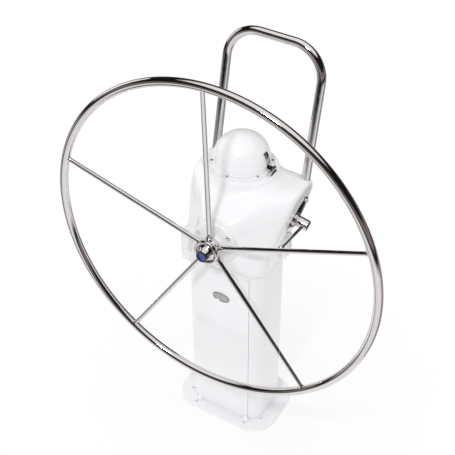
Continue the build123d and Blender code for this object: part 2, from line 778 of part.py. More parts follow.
def hinge_pin():
    """Pin through both ears of the bracket."""
    x, z = hinge_axis()
    body = rod(HINGE_PIN_R, HINGE_WIDTH + 5, (x, -HINGE_WIDTH / 2 - 2.5, z), "Y")
    return at_compass(body, BOSS_TOP)


def hinge_leaf():
    """Strap that hugs the cover's side, with a knuckle round the pin."""
    x, z = hinge_axis()
    foot = RING_HEIGHT - 4.7
    width = HINGE_WIDTH - 12 - 2 * SMALL
    strap = dome_solid(COVER_R + STRAP_THICK, COVER_SKIRT, COVER_HEIGHT + STRAP_THICK, foot)
    strap &= block((60, width, STRAP_REACH), (COVER_R - 40, -width / 2, z))
    arm = block((x - COVER_R + 2, width, 3), (COVER_R - 2, -width / 2, z + 1.5))
    body = strap + arm + rod(4.4, width, (x, -width / 2, z), "Y")
    body -= dome_solid(COVER_R, COVER_SKIRT, COVER_HEIGHT, foot)
    body -= rod(COVER_R + LIP_PROUD, LIP_HEIGHT, (0, 0, foot))
    body -= rod(HINGE_PIN_R + RUN_GAP, 60, (x, -30, z), "Y")
    return at_compass(body, BOSS_TOP)


# Guard rail
def guard_path():
    """Centre line of the rail in its own leaning plane: two legs and a round-cornered top."""
    half, corner, height = GUARD_HALF, GUARD_CORNER, GUARD_HEIGHT
    low = -SOCKET_DEPTH
    return FilletPolyline((-half, low), (-half, height), (half, height), (half, low), radius=corner)


def guard_rail():
    """Bent stainless tube."""
    base = Plane(origin=(0, GUARD_FOOT_Y, HEAD_TOP), x_dir=(1, 0, 0), z_dir=lean_normal())
    path = base * guard_path()
    start = Plane(origin=path @ 0, z_dir=path % 0)
    section = Circle(GUARD_TUBE_R) - Circle(GUARD_TUBE_R - GUARD_WALL)
    return sweep(start * section, path=path)


def lean_normal():
    """Normal of the plane that holds the rail, which leans away from the helmsman."""
    a = radians(GUARD_LEAN)
    return (0, -cos(a), sin(a))


# Engine control
def slot_plate(length, width, thick, z):
    """Plate with round ends, turned to the slope of the head's side."""
    plan = SlotOverall(length, width)
    body = extrude(plan, amount=thick)
    return Location((0, 0, z), (0, 0, 90 + CONTROL_SLOPE)) * body


def control_bolt_points():
    """Two bolts near the ends of the sloping control plate."""
    a = radians(90 + CONTROL_SLOPE)
    reach = CONTROL_PLATE[0] / 2 - 12
    return [(s * reach * cos(a), s * reach * sin(a)) for s in (-1, 1)]


def control_plate():
    """Plate with a raised collar round the turning barrel."""
    length, width, thick = CONTROL_PLATE
    body = slot_plate(length, width, thick, 0)
    top = body.edges().group_by(Axis.Z)[-1]
    body = fillet(top, 1.2)
    x, y = SPINDLE_AT
    body += rod(SPINDLE_R + 4, 8, (x, y, 0))
    body -= rod(SPINDLE_R * 0.6 + RUN_GAP, 60, (x, y, -10))
    for x, y in control_bolt_points():
        body -= rod(3, 20, (x, y, -5))
    return control_frame(body)


def control_bolts():
    """Hexagon bolts that hold the plate and the case."""
    bolts = []
    for x, y in control_bolt_points():
        head = Location((x, y, CONTROL_PLATE[2])) * extrude(RegularPolygon(5.5, 6), amount=4)
        bolts.append(control_frame(head + rod(2.95, CONTROL_PLATE[2] + 6, (x, y, -6))))
    return bolts


def control_spindle():
    """Turning barrel with the cross hole of the lever."""
    x, y = SPINDLE_AT
    low = 8 + SMALL
    body = rod(SPINDLE_R, SPINDLE_LENGTH - low, (x, y, low))
    body = fillet(body.edges().group_by(Axis.Z)[-1], 2)
    body += rod(SPINDLE_R * 0.6, low + 36, (x, y, -36))
    body -= lever_solid(0.02)
    return control_frame(body)


def lever_solid(grow):
    """Rod along the helmsman's direction, through the barrel's side."""
    return at_spindle(rod(LEVER_R + grow, LEVER_LENGTH, (0, -LEVER_LENGTH, LEVER_OUT), "Y"))


def at_spindle(shape):
    """Turn a lever piece to its rest angle about the barrel's axis."""
    x, y = SPINDLE_AT
    return Location((x, y, 0), (0, 0, -LEVER_RISE)) * shape


def control_lever():
    """Straight rod from the barrel toward the helmsman."""
    return control_frame(lever_solid(0))


def control_ball():
    """Ball knob on the lever's end."""
    body = at_spindle(Location((0, -LEVER_LENGTH, LEVER_OUT)) * Sphere(BALL_R))
    return control_frame(body - lever_solid(0.02))


def control_body():
    """Closed case of the control inside the head, which drives the engine cables."""
    length, width, deep = CONTROL_BODY
    x, y = SPINDLE_AT
    case = block((length, width, deep), (x - length / 2, y - width / 2, -deep - 7))
    case = fillet(case.edges().filter_by(Axis.Z), 8)
    case -= rod(SPINDLE_R * 0.6 + RUN_GAP, 90, (x, y, -70))
    for x, y in control_bolt_points():
        case -= rod(3.0, 90, (x, y, -70))
    return control_frame(case)


save("pedestal_column", pedestal_column())
save("access_panel", access_panel())
save("panel_foot_caps", *foot_caps())
save("panel_badge", panel_badge())
save("head_housing", head_housing())
save("shaft_flange", shaft_flange())
save("flange_screws", *flange_screws())
save("front_bearing", bearing(FRAME_FRONT - BEARING_WIDTH - 18))
save("rear_bearing", bearing(FRAME_REAR - 2))
save("output_bearing_front", bearing(FRAME_FRONT - 2, -centre_distance()))
save("output_bearing_rear", bearing(FRAME_REAR - 2, -centre_distance()))
save("steering_shaft", steering_shaft())
save("wheel_rim", wheel_rim())
save("wheel_spokes", *wheel_spokes())
save("spoke_collars", *spoke_collars())
save("wheel_hub", wheel_hub())
save("hub_nose", hub_nose())
save("hub_disc", hub_disc())
save("drive_pinion", drive_pinion())
save("drive_gear", drive_gear())
save("output_shaft", output_shaft())
save("output_crank", output_crank())
plates = frame_plates()
save("frame_plate_front", plates[0])
save("frame_plate_rear", plates[1])
save("frame_spacers", *frame_spacers())
save("frame_bolts", *frame_bolts())
save("compass_ring", compass_ring())
save("ring_screws", *ring_screws())
save("compass_bowl", compass_bowl())
save("card_pivot", card_pivot())
save("compass_card", compass_card())
save("compass_glass", compass_glass())
save("compass_cover", compass_cover())
save("hinge_bracket", hinge_bracket())
save("hinge_pin", hinge_pin())
save("hinge_leaf", hinge_leaf())
save("guard_rail", guard_rail())
save("control_plate", control_plate())
save("control_bolts", *control_bolts())
save("control_spindle", control_spindle())
save("control_lever", control_lever())
save("control_ball", control_ball())
save("control_body", control_body())
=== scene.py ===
import bpy
import numpy as np
from mathutils import Matrix, Vector


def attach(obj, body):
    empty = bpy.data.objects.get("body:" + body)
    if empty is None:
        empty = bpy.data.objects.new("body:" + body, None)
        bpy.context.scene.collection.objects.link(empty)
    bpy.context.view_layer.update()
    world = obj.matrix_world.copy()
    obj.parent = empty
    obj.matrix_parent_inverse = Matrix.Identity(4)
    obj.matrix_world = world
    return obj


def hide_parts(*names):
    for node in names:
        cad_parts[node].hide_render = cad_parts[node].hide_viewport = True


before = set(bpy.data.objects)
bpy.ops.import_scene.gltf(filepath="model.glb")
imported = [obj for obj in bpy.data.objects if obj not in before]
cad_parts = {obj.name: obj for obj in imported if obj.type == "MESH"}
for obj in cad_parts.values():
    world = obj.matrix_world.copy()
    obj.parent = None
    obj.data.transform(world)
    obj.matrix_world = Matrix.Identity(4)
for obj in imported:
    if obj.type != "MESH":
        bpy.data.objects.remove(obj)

bl_info = {
    "name": "Boat steering pedestal",
    "version": (1, 0, 0),
    "blender": (4, 5, 0),
    "location": "3D View > Sidebar > Helm",
    "description": "Dresses the pedestal, wheel, compass, guard rail and engine control",
    "category": "Object",
}

MM = 0.001
RIGHT = np.array([1.0, 0.0, 0.0])
UPRIGHT = np.array([0.0, 0.0, 1.0])

# Steering shaft: it dips away from the helmsman by TILT, and the wheel stands square to it
TILT = np.radians(4.0)
WHEEL_CENTRE = np.array([0.0, -140.0, 768.0]) * MM
SHAFT_AXIS = np.array([0.0, np.cos(TILT), -np.sin(TILT)])
WHEEL_UP = np.cross(RIGHT, SHAFT_AXIS)
SPOKE_ANGLES = np.radians(93.9 - 72.0 * np.arange(5))

COMPASS_X, COMPASS_Y = -28.0, 84.0
SHARP_ANGLE = np.radians(28.0)
WELD_GAP = 0.01 * MM
NOISE_LOW, NOISE_HIGH = 0.3, 0.7  # most of a noise lies between these


# Colour and node helpers
def linear(code):
    """Linear RGBA of an sRGB hex colour: each channel c becomes ((c + 0.055) / 1.055) ** 2.4,
    or c / 12.92 where it is dark."""
    c = np.array([int(code[i:i + 2], 16) for i in (0, 2, 4)]) / 255.0
    rgb = np.where(c <= 0.04045, c / 12.92, ((c + 0.055) / 1.055) ** 2.4)
    return (*map(float, rgb), 1.0)


def add(tree, kind, inputs=None, **settings):
    """Adds a node to a tree with its settings, and gives its inputs values or links. A link is
    given as an output, or as a node whose first output in use is meant."""
    node = tree.nodes.new(kind)
    for name, value in settings.items():
        setattr(node, name, value)
    for key, value in (inputs or {}).items():
        if isinstance(value, bpy.types.Node):
            value = next(output for output in value.outputs if output.enabled)
        if isinstance(value, bpy.types.NodeSocket):
            tree.links.new(value, node.inputs[key])
        else:
            node.inputs[key].default_value = value
    return node


def blank_material(name):
    """Empty node material, its tree, and the Object coordinates that patterns read."""
    material = bpy.data.materials.new(name)
    material.use_nodes = True
    tree = material.node_tree
    tree.nodes.clear()
    return material, tree, add(tree, "ShaderNodeTexCoord").outputs["Object"]


def mottled(name, surface, colour, roughness=None, relief=None, stretch=None):
    """Makes a Principled material that wavers over the surface. Each row starts with the size
    in mm of its noise's blotches and the noise's detail. After them colour has the two hex
    colours to blend, roughness its lowest and highest value, and relief a bump's strength and
    height in mm. Surface holds the inputs that stay even, and stretch scales the noises' place."""
    material, tree, place = blank_material(name)
    if stretch:
        place = add(tree, "ShaderNodeMapping", {"Vector": place, "Scale": stretch})
    inputs = dict(surface)
    for aspect, row in (("Base Color", colour), ("Roughness", roughness), ("Normal", relief)):
        if row is None:
            continue
        size_mm, detail, first, second = row
        noise = add(tree, "ShaderNodeTexNoise", {
            "Vector": place, "Scale": 1.0 / (size_mm * MM), "Detail": detail})
        if aspect == "Base Color":
            inputs[aspect] = add(tree, "ShaderNodeMix", {
                0: noise, 6: linear(first), 7: linear(second)}, data_type="RGBA")
        elif aspect == "Roughness":
            inputs[aspect] = add(tree, "ShaderNodeMapRange", {
                "Value": noise, "From Min": NOISE_LOW, "From Max": NOISE_HIGH,
                "To Min": first, "To Max": second})
        else:
            inputs[aspect] = add(tree, "ShaderNodeBump", {
                "Height": noise, "Strength": first, "Distance": second * MM})
    shader = add(tree, "ShaderNodeBsdfPrincipled", inputs)
    add(tree, "ShaderNodeOutputMaterial", {"Surface": shader})
    return material


# Finishes
def gel_coat():
    """Gel coat on glass fibre, moulded against a polished tool: a hard glossy white skin with a
    faint long orange peel that only shows as a wavering of the reflections."""
    return mottled("gel_coat", {"IOR": 1.52, "Coat Weight": 0.35, "Coat Roughness": 0.05},
                   colour=(180.0, 2.0, "F4F4F6", "EFEFF2"), roughness=(25.0, 2.0, 0.14, 0.22),
                   relief=(9.0, 1.0, 0.035, 0.5))


def white_enamel():
    """Alloy casting under a baked white enamel: glossy, with a slow waviness from its flow."""
    return mottled("white_enamel", {"IOR": 1.5, "Coat Weight": 0.2, "Coat Roughness": 0.08},
                   colour=(30.0, 2.0, "F5F5F6", "F1F1F3"), roughness=(14.0, 2.0, 0.2, 0.3),
                   relief=(5.0, 1.0, 0.05, 0.3))


def polished_stainless():
    """Stainless steel, buffed to a mirror: sharp reflections, a nearly neutral grey and buffing
    marks that widen the reflections a little in places. The marks are drawn 1.2 mm across,
    coarser than real ones, which would not show."""
    return mottled("polished_stainless", {"Metallic": 1.0},
                   colour=(60.0, 2.0, "E4E1E0", "DBD8D7"), roughness=(12.0, 4.0, 0.045, 0.11),
                   relief=(1.2, 3.0, 0.02, 0.1))


def satin_stainless():
    """Stainless steel turned and brushed: soft reflections drawn out across the brushing, whose
    pattern is pressed together upward. Its lines are drawn 1 mm high, coarser than real ones,
    which would not show."""
    return mottled("satin_stainless", {"Metallic": 1.0},
                   colour=(14.0, 5.0, "BDBCBA", "A9A8A6"), roughness=(14.0, 5.0, 0.22, 0.34),
                   stretch=(1.0, 1.0, 14.0))


def black_acetal():
    """Black acetal, turned: a deep black with a low waxy sheen."""
    return mottled("black_acetal", {"IOR": 1.48},
                   colour=(8.0, 2.0, "17171A", "1E1E21"), roughness=(2.5, 3.0, 0.3, 0.42))


def blue_enamel():
    """Enamel on a metal disc, fired: a saturated blue under a clear glassy surface."""
    return mottled("blue_enamel", {"Roughness": 0.16, "IOR": 1.55, "Coat Weight": 0.6,
                                   "Coat Roughness": 0.04},
                   colour=(5.0, 2.0, "14266E", "20368A"))


def cast_alloy():
    """Aluminium casting, sand cast and left bare: pale grey with a fine pitted grain."""
    return mottled("cast_alloy", {"Metallic": 1.0},
                   colour=(1.4, 4.0, "A8AAAD", "8F9194"), roughness=(1.4, 4.0, 0.38, 0.55),
                   relief=(1.4, 4.0, 0.3, 0.3))


def greased_steel():
    """Hobbed gear steel under a film of grease: dark, slightly brown and wet looking."""
    return mottled("greased_steel", {"Metallic": 1.0, "Coat Weight": 0.3, "Coat Roughness": 0.12},
                   colour=(7.0, 4.0, "4A4641", "5B5650"), roughness=(7.0, 4.0, 0.2, 0.45))


def clear_acrylic():
    """Acrylic dome, vacuum formed and polished: clear with a trace of grey."""
    return mottled("clear_acrylic", {"Roughness": 0.03, "IOR": 1.49, "Transmission Weight": 1.0},
                   colour=(40.0, 2.0, "F6FAFA", "EEF4F4"))


def card_print():
    """Printed compass card: a matt dark face with a light tick every ten degrees, from 41 to
    51 mm from its centre, and a thin circle at 37 mm. Ten degrees of angle about the centre are
    one unit, and a tick is drawn where the fraction of a unit lies within 0.1 of its middle."""
    material, tree, place = blank_material("card_print")
    centre = (COMPASS_X * MM, COMPASS_Y * MM, 0.0)
    arm = add(tree, "ShaderNodeVectorMath", {0: place, 1: centre}, operation="SUBTRACT")
    arm = add(tree, "ShaderNodeVectorMath", {0: arm, 1: (1.0, 1.0, 0.0)}, operation="MULTIPLY")
    radius = add(tree, "ShaderNodeVectorMath", {0: arm}, operation="LENGTH")
    flat = add(tree, "ShaderNodeSeparateXYZ", {0: arm}).outputs
    angle = add(tree, "ShaderNodeMath", {0: flat["Y"], 1: flat["X"]}, operation="ARCTAN2")
    tens = add(tree, "ShaderNodeMath", {0: angle, 1: 18.0 / np.pi}, operation="MULTIPLY")
    share = add(tree, "ShaderNodeMath", {0: tens}, operation="FRACT")
    line = add(tree, "ShaderNodeMath", {0: share, 1: 0.5, 2: 0.1}, operation="COMPARE")
    belt = add(tree, "ShaderNodeMath", {0: radius, 1: 46.0 * MM, 2: 5.0 * MM},
               operation="COMPARE")
    tick = add(tree, "ShaderNodeMath", {0: line, 1: belt}, operation="MULTIPLY")
    circle = add(tree, "ShaderNodeMath", {0: radius, 1: 37.0 * MM, 2: 0.7 * MM},
                 operation="COMPARE")
    mark = add(tree, "ShaderNodeMath", {0: tick, 1: circle}, operation="MAXIMUM")
    noise = add(tree, "ShaderNodeTexNoise", {
        "Vector": place, "Scale": 1.0 / (3.0 * MM), "Detail": 2.0})
    ink = add(tree, "ShaderNodeMix", {0: noise, 6: linear("15171A"), 7: linear("1D2024")},
              data_type="RGBA")
    face = add(tree, "ShaderNodeMixRGB", {0: mark, 1: ink, 2: linear("DADCD8")})
    shader = add(tree, "ShaderNodeBsdfPrincipled", {
        "Base Color": face, "Roughness": 0.55, "IOR": 1.5})
    add(tree, "ShaderNodeOutputMaterial", {"Surface": shader})
    return material


NODE_FINISH = {
    gel_coat: ("pedestal_column", "access_panel", "panel_foot_caps", "compass_ring"),
    polished_stainless: ("flange_screws", "spoke_collars", "hinge_bracket", "hinge_leaf",
                         "control_plate", "control_bolts", "control_spindle"),
    satin_stainless: ("front_bearing", "rear_bearing", "output_bearing_front",
                      "output_bearing_rear", "steering_shaft", "output_shaft", "frame_spacers",
                      "frame_bolts", "ring_screws", "card_pivot", "hinge_pin"),
    cast_alloy: ("output_crank", "frame_plate_front", "frame_plate_rear"),
    greased_steel: ("drive_pinion", "drive_gear"),
    black_acetal: ("compass_bowl", "control_body"),
    card_print: ("compass_card",),
    clear_acrylic: ("compass_glass",),
}


def finish(make):
    """The material that a finish makes, made once."""
    return bpy.data.materials.get(make.__name__) or make()


def dress(name, make):
    """Gives a CAD node its finish, and smooth shading up to SHARP_ANGLE. Vertices nearer than
    WELD_GAP count as one, because the CAD mesh has its faces apart."""
    node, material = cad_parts[name], finish(make)
    if not node.material_slots:
        node.data.materials.append(material)
    for slot in node.material_slots:
        slot.material = material
    node.data.shade_smooth()
    node.modifiers.new("weld", "WELD").merge_threshold = WELD_GAP
    node.modifiers.new("split", "EDGE_SPLIT").split_angle = SHARP_ANGLE


# Surfaces
def grid_faces(rows, cols, wrap_rows=False):
    """Quads between neighbouring points of a grid whose columns close on themselves, and whose
    rows do so too if asked."""
    i = np.arange(rows if wrap_rows else rows - 1)
    i, j = np.meshgrid(i, np.arange(cols), indexing="ij")
    k, m = (i + 1) % rows, (j + 1) % cols
    return np.stack([i * cols + j, k * cols + j, k * cols + m, i * cols + m], -1).reshape(-1, 4)


def outward(points, faces):
    """Turns the faces round if the volume that they enclose comes out negative. The volume is a
    sixth of the sum of a . (b x c) over the triangles."""
    total = 0.0
    for corner in range(1, faces.shape[1] - 1):
        a, b, c = points[faces[:, 0]], points[faces[:, corner]], points[faces[:, corner + 1]]
        total += np.einsum("ij,ij->i", a - points.mean(0), np.cross(b - a, c - a)).sum()
    return faces[:, ::-1] if total < 0 else faces


def closed_skin(points, rings, around):
    """Quads along a stack of rings, with a flat fan over each end."""
    ends = np.array([points[:around].mean(0), points[-around:].mean(0)])
    j = np.arange(around)
    k = (j + 1) % around
    first, last = len(points), (rings - 1) * around
    low = np.stack([np.full(around, first), j, k, k], -1)
    high = np.stack([np.full(around, first + 1), last + k, last + j, last + j], -1)
    return (np.concatenate([points, ends]),
            np.concatenate([grid_faces(rings, around), low, high]))


def build(name, parts, make, body, replaced):
    """Makes one object from (points, quads) pairs. A quad that names a corner twice is drawn as
    a triangle. Edges sharper than SHARP_ANGLE stay sharp."""
    verts, polys, start = [], [], 0
    for points, faces in parts:
        quads = outward(points, faces) + start
        twin = (quads[:, 2] == quads[:, 3]) | (quads[:, 0] == quads[:, 1])
        polys += quads[~twin].tolist()
        polys += [list(dict.fromkeys(q)) for q in quads[twin].tolist()]
        verts.append(points)
        start += len(points)
    mesh = bpy.data.meshes.new(name)
    mesh.from_pydata(np.concatenate(verts).tolist(), [], polys)
    mesh.validate()
    mesh.shade_smooth()
    mesh.set_sharp_from_angle(angle=SHARP_ANGLE)
    mesh.materials.append(finish(make))
    piece = bpy.data.objects.new(name, mesh)
    bpy.context.scene.collection.objects.link(piece)
    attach(piece, body)
    if replaced:
        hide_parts(*replaced)


def turned(profile, around, origin, axis, side):
    """Surface of revolution. A point at radius r and height h of the profile, turned by angle t,
    lies at origin + h axis + r (cos t side + sin t (axis x side)), where axis and side are unit
    vectors square to each other."""
    t = np.linspace(0, 2 * np.pi, around, endpoint=False)
    spoke = np.cos(t)[:, None] * side + np.sin(t)[:, None] * np.cross(axis, side)
    points = origin + profile[:, 1, None, None] * axis + profile[:, 0, None, None] * spoke[None]
    return closed_skin(points.reshape(-1, 3), len(profile), around)


def lathe_ring(profile, around, origin, axis, side):
    """Closed ring of revolution: a closed profile of (radius, height) points carried round the
    axis, as in turned, and joined to itself both ways."""
    points, _ = turned(profile, around, origin, axis, side)
    return points[:-2], grid_faces(len(profile), around, wrap_rows=True)


def shaft_turned(profile, around=96):
    """A profile of (radius, distance behind the wheel's centre), in mm, turned on the shaft."""
    return turned(np.array(profile) * MM, around, WHEEL_CENTRE, SHAFT_AXIS, RIGHT)


def piped(path, normal, radius, around, closed):
    """Circle carried along a flat path. With the path's tangent T and its plane's normal N, the
    point at angle t is path + radius (cos t N + sin t (T x N))."""
    if closed:
        tangent = np.roll(path, -1, 0) - np.roll(path, 1, 0)
    else:
        tangent = np.gradient(path, axis=0)
    tangent /= np.linalg.norm(tangent, axis=1)[:, None]
    t = np.linspace(0, 2 * np.pi, around, endpoint=False)
    out = (np.cos(t)[None, :, None] * normal
           + np.sin(t)[None, :, None] * np.cross(tangent, normal)[:, None])
    points = (path[:, None] + radius * out).reshape(-1, 3)
    if closed:
        return points, grid_faces(len(path), around, wrap_rows=True)
    return closed_skin(points, len(path), around)


def rounded_block(low, high, radius, steps=7):
    """Box between two corners, in mm, with round edges: for every direction n of a sphere the
    point is centre + sign(n) (half size - radius) + radius n. Rows and columns where a sign
    changes stand twice, so that the flats are drawn between them."""
    low, high = np.array(low), np.array(high)
    centre, inner = (low + high) / 2, (high - low) / 2 - radius
    up = np.concatenate([np.linspace(-np.pi / 2, 0, steps), np.linspace(0, np.pi / 2, steps)])
    up_sign = np.repeat([-1.0, 1.0], steps)
    turn = np.concatenate([np.linspace(k, k + 1, steps) for k in range(4)]) * np.pi / 2
    sx, sy = np.repeat([1, -1, -1, 1], steps), np.repeat([1, 1, -1, -1], steps)
    way = np.stack([np.cos(up)[:, None] * np.cos(turn), np.cos(up)[:, None] * np.sin(turn),
                    np.sin(up)[:, None] + 0 * turn], -1)
    sign = np.stack(np.broadcast_arrays(sx[None], sy[None], up_sign[:, None]), -1)
    points = (centre + sign * inner + radius * way).reshape(-1, 3)
    return closed_skin(points * MM, 2 * steps, 4 * steps)


def smooth_step(s):
    """3 s^2 - 2 s^3, which rises from 0 to 1 with level ends."""
    return s * s * (3.0 - 2.0 * s)


def soft_max(a, b, k):
    """The larger of two distances, with the corner between them rounded: where they differ by
    less than k, (k - difference) squared over 4 k is added."""
    return np.maximum(a, b) + np.maximum(k - np.abs(a - b), 0.0) ** 2 / (4.0 * k)


def soft_min(a, b, k):
    """The smaller of two distances with the same rounding, which leaves a fillet."""
    return -soft_max(-a, -b, k)


# Head form, in millimetres
HEAD_FOCUS = np.array([0.0, 20.0, 775.0])  # a point that sees the whole skin from inside
HEAD_FOOT, HEAD_LIP, HEAD_TOP = 652.0, 697.0, 880.0
FACE_Y, FACE_Z = -110.93, 768.0  # where the front plane meets the shaft's level
BOSS_X, BOSS_Y, BOSS_RADIUS, BOSS_TOP = -19.0, 83.0, 95.0, 903.0
BORE_RIM, BORE_FOOT, BORE_DEPTH = 79.0, 71.0, 40.0


def column_gap(x, y):
    """Distance from the upright column's outline, a rectangle with round corners: with q the
    distance past the straight sides, |max(q, 0)| + min(max(qx, qy), 0) - corner radius."""
    qx, qy = x - 80.0, np.abs(y - 4.0) - 44.0
    return (np.hypot(np.maximum(qx, 0.0), np.maximum(qy, 0.0))
            + np.minimum(np.maximum(qx, qy), 0.0) - 45.0)


def head_gap(p):
    """Distance from the moulded head's skin, negative inside. The head is what lies behind the
    plane square to the shaft, behind two planes that lean back at the sides of the bow, between
    two flared sides, under a sloping brow and a top crowned from side to side, and before a
    folded rear, all with rounded meetings. A collar that flares out of the column bounds it
    below, and the compass boss is added to it."""
    x, y, z = np.abs(p[..., 0]), p[..., 1], p[..., 2]
    up = z - HEAD_LIP
    front = FACE_Y + (z - FACE_Z) * np.tan(TILT) - y
    flank = 0.720 * (x - 136.0) - 0.670 * (y + 50.0) + 0.178 * up
    bow = soft_max(front, flank, 15.0)
    crown = z - HEAD_TOP - 15.0 * np.maximum(1.0 - (x / 150.0) ** 2, 0.0)
    top = soft_max(0.9165 * crown - 0.4 * (y - 22.0), crown, 14.0)
    # the meeting of bow and top grows rounder from 14 mm in the middle to 50 mm at the sides
    form = soft_max(bow, top, 14.0 + 36.0 * smooth_step(np.clip((x - 30.0) / 80.0, 0.0, 1.0)))
    half = 133.0 + 0.221 * up - 0.00026 * up ** 2
    form = soft_max(form, 0.98 * (x - half), 13.0)
    rear = soft_max(0.76 * (y - 180.0) + 0.65 * (z - 845.0), y - 186.0, 16.0)
    rear = soft_max(rear, 0.809 * (y - 160.0) - 0.588 * (z - 800.0), 16.0)
    form = soft_max(form, rear, 24.0)
    column = column_gap(x, y)
    form = soft_max(form, 0.76 * (column - 0.8 * (z - HEAD_FOOT)), 7.0)
    form = soft_min(form, soft_max(column - 2.0, z - 724.0, 9.0), 16.0)
    boss = np.hypot(p[..., 0] - BOSS_X, y - BOSS_Y) - BOSS_RADIUS
    form = soft_min(form, soft_max(boss, 800.0 - z, 5.0), 26.0)
    form = soft_max(form, z - BOSS_TOP, 4.0)
    return soft_max(form, HEAD_FOOT - z, 2.0)


def cast_skin(gap, focus, rise, around):
    """Skin of a form that can be seen whole from a point inside it, in mm. Along each direction
    from that point the distance to the skin is found where the form's gap changes sign, first
    in steps of 5 mm and then by halving."""
    t = np.linspace(0, 2 * np.pi, around, endpoint=False)
    way = np.stack([np.cos(rise)[:, None] * np.cos(t), np.cos(rise)[:, None] * np.sin(t),
                    np.sin(rise)[:, None] + 0 * t], -1)
    steps = np.linspace(20.0, 300.0, 57)
    low = np.full(way.shape[:2], steps[0])
    open_way = np.ones(way.shape[:2], bool)
    for reach in steps[1:]:
        open_way &= gap(focus + reach * way) < 0
        low = np.where(open_way, reach, low)
    high = low + steps[1] - steps[0]
    for _ in range(16):
        middle = (low + high) / 2
        inside = gap(focus + middle[..., None] * way) < 0
        low, high = np.where(inside, middle, low), np.where(inside, high, middle)
    return (focus + low[..., None] * way).reshape(-1, 3)


def bored(points):
    """Sinks the boss's top, in mm, for the compass bowl, by BORE_DEPTH times a smooth step that
    runs from 0 at the radius BORE_RIM to 1 at BORE_FOOT."""
    off = np.hypot(points[:, 0] - COMPASS_X, points[:, 1] - COMPASS_Y)
    s = np.clip((BORE_RIM - off) / (BORE_RIM - BORE_FOOT), 0.0, 1.0)
    sink = np.where(points[:, 2] > BOSS_TOP - 18.0, BORE_DEPTH * smooth_step(s), 0.0)
    return points - sink[:, None] * UPRIGHT


# Sizes and colours that a user would change
class WheelSizes(bpy.types.PropertyGroup):
    """Sizes of the steering wheel."""
    rim_radius: bpy.props.FloatProperty(
        name="Rim radius", description="Radius of the rim tube's centre line",
        default=0.5, min=0.3, max=0.7, subtype="DISTANCE", unit="LENGTH")
    tube_radius: bpy.props.FloatProperty(
        name="Rim tube radius", description="Radius of the rim's tube",
        default=0.0125, min=0.008, max=0.02, subtype="DISTANCE", unit="LENGTH")
    spoke_hub: bpy.props.FloatProperty(
        name="Spoke at the hub", description="Radius of a spoke where it leaves the hub",
        default=0.0075, min=0.004, max=0.012, subtype="DISTANCE", unit="LENGTH")
    spoke_rim: bpy.props.FloatProperty(
        name="Spoke at the rim", description="Radius of a spoke where it meets the rim",
        default=0.006, min=0.004, max=0.012, subtype="DISTANCE", unit="LENGTH")


class RailSizes(bpy.types.PropertyGroup):
    """Sizes of the guard rail."""
    half_width: bpy.props.FloatProperty(
        name="Half width", description="Half of the distance between the legs",
        default=0.1455, min=0.1, max=0.2, subtype="DISTANCE", unit="LENGTH")
    height: bpy.props.FloatProperty(
        name="Height", description="Height of the top bend's middle above the head, along the leg",
        default=0.376, min=0.2, max=0.5, subtype="DISTANCE", unit="LENGTH")
    corner: bpy.props.FloatProperty(
        name="Bend radius", description="Radius of the two upper bends",
        default=0.092, min=0.04, max=0.12, subtype="DISTANCE", unit="LENGTH")
    tube_radius: bpy.props.FloatProperty(
        name="Tube radius", description="Radius of the rail's tube",
        default=0.0127, min=0.008, max=0.02, subtype="DISTANCE", unit="LENGTH")


class StageLook(bpy.types.PropertyGroup):
    """Look of the stage."""
    floor: bpy.props.FloatVectorProperty(
        name="Floor colour", description="Colour of the plain floor", subtype="COLOR",
        size=4, default=linear("F6F6F6"), min=0.0, max=1.0)
    ambient: bpy.props.FloatProperty(
        name="Ambient light", description="Strength of the even light from all sides",
        default=0.86, min=0.0, max=2.0)


# Pieces
class HELM_OT_head(bpy.types.Operator):
    """Make the moulded head with its boss, its shaft pad and its two low lobes"""
    bl_idname = "helm.head"
    bl_label = "Moulded head"

    def execute(self, context):
        rise = np.radians(np.concatenate([
            np.linspace(-89.6, -50, 12), np.linspace(-49.4, 62, 168), np.linspace(63, 89.6, 12)]))
        around = 470
        skin = bored(cast_skin(head_gap, HEAD_FOCUS, rise, around)) * MM
        pad = shaft_turned([(0.01, 60), (66.5, 60), (66.5, 27.8), (66.0, 27.2), (65.4, 27.0),
                            (0.01, 27.0)], 128)
        left = rounded_block((-139.0, -81.0, 614.0), (-105.0, -11.0, 724.0), 8)
        right = rounded_block((105.0, 26.0, 652.0), (147.0, 72.0, 733.0), 8)
        build("head_moulding", [closed_skin(skin, len(rise), around), pad, left, right],
              gel_coat, "pedestal", ["head_housing"])
        return {"FINISHED"}


class HELM_OT_cover(bpy.types.Operator):
    """Make the domed compass cover, a round cap with a small bead at its foot. At angle a its
    skin has the radius R cos a and stands H sin a over its spring line, outside and inside"""
    bl_idname = "helm.cover"
    bl_label = "Compass cover"

    def execute(self, context):
        radius, wall, spring, height = 81.0, 2.5, 928.3, 74.0
        a = np.radians(np.linspace(0, 89.9, 48))
        outer = np.stack([radius * np.cos(a), spring + height * np.sin(a)], -1)
        inner = np.stack([(radius - wall) * np.cos(a),
                          spring + (height - wall) * np.sin(a)], -1)[::-1]
        bead = [(78.5, 912.3), (81.6, 912.3), (82.1, 912.8), (82.2, 914.0), (82.1, 915.8),
                (81.6, 916.9), (81.0, 917.4), (81.0, 922.0)]
        profile = np.concatenate([bead, outer, inner, [(78.5, 920.0)]]) * MM
        cover = lathe_ring(profile, 160, np.array([COMPASS_X, COMPASS_Y, 0.0]) * MM, UPRIGHT,
                           RIGHT)
        build("cover_dome", [cover], gel_coat, "cover", ["compass_cover"])
        return {"FINISHED"}


